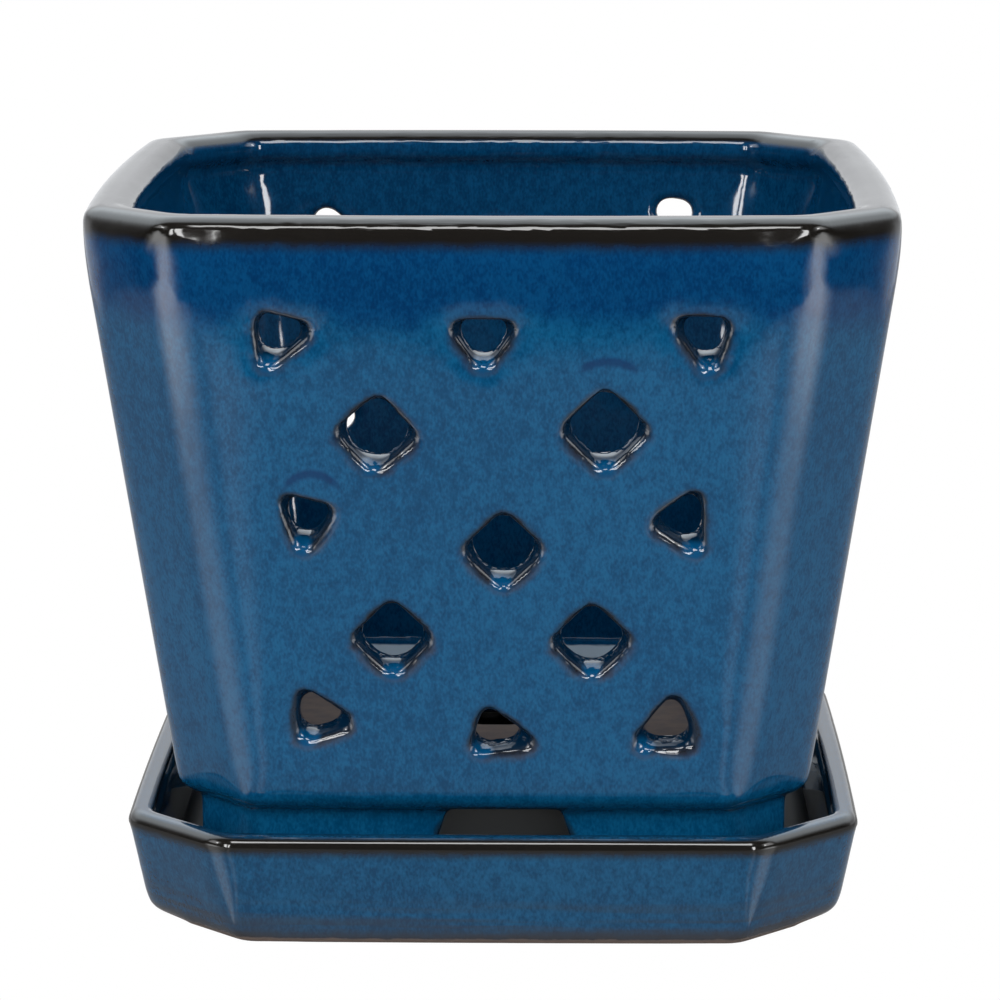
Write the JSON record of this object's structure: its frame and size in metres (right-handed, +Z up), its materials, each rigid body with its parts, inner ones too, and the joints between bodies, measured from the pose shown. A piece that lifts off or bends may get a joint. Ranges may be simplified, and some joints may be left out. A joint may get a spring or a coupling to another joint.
{
  "type": "orchid pot",
  "caption": "Flared square orchid pot in blue glazed stoneware, with chamfered corners and a lattice of slots in its walls, standing on corner feet in a drip saucer.",
  "frame": {"origin": "centre of the saucer's underside", "axes": "+Z up out of the pot's mouth, -Y towards the wall that faces the camera in the picture, +X to that wall's right"},
  "size_m": [0.1674, 0.1674, 0.1504],
  "materials": {
    "pot_glaze": "gloss blue glaze, broken to brown at the edges",
    "saucer_glaze": "gloss blue glaze, broken to brown at the edges"
  },
  "bodies": {
    "saucer": {"saucer": "saucer_glaze"},
    "pot": {"pot": "pot_glaze"}
  },
  "joints": [
    {"name": "pot_lift", "type": "slide", "parent": "saucer", "child": "pot", "axis": [0, 0, 1], "range_m": [0, 0.05]}
  ]
}
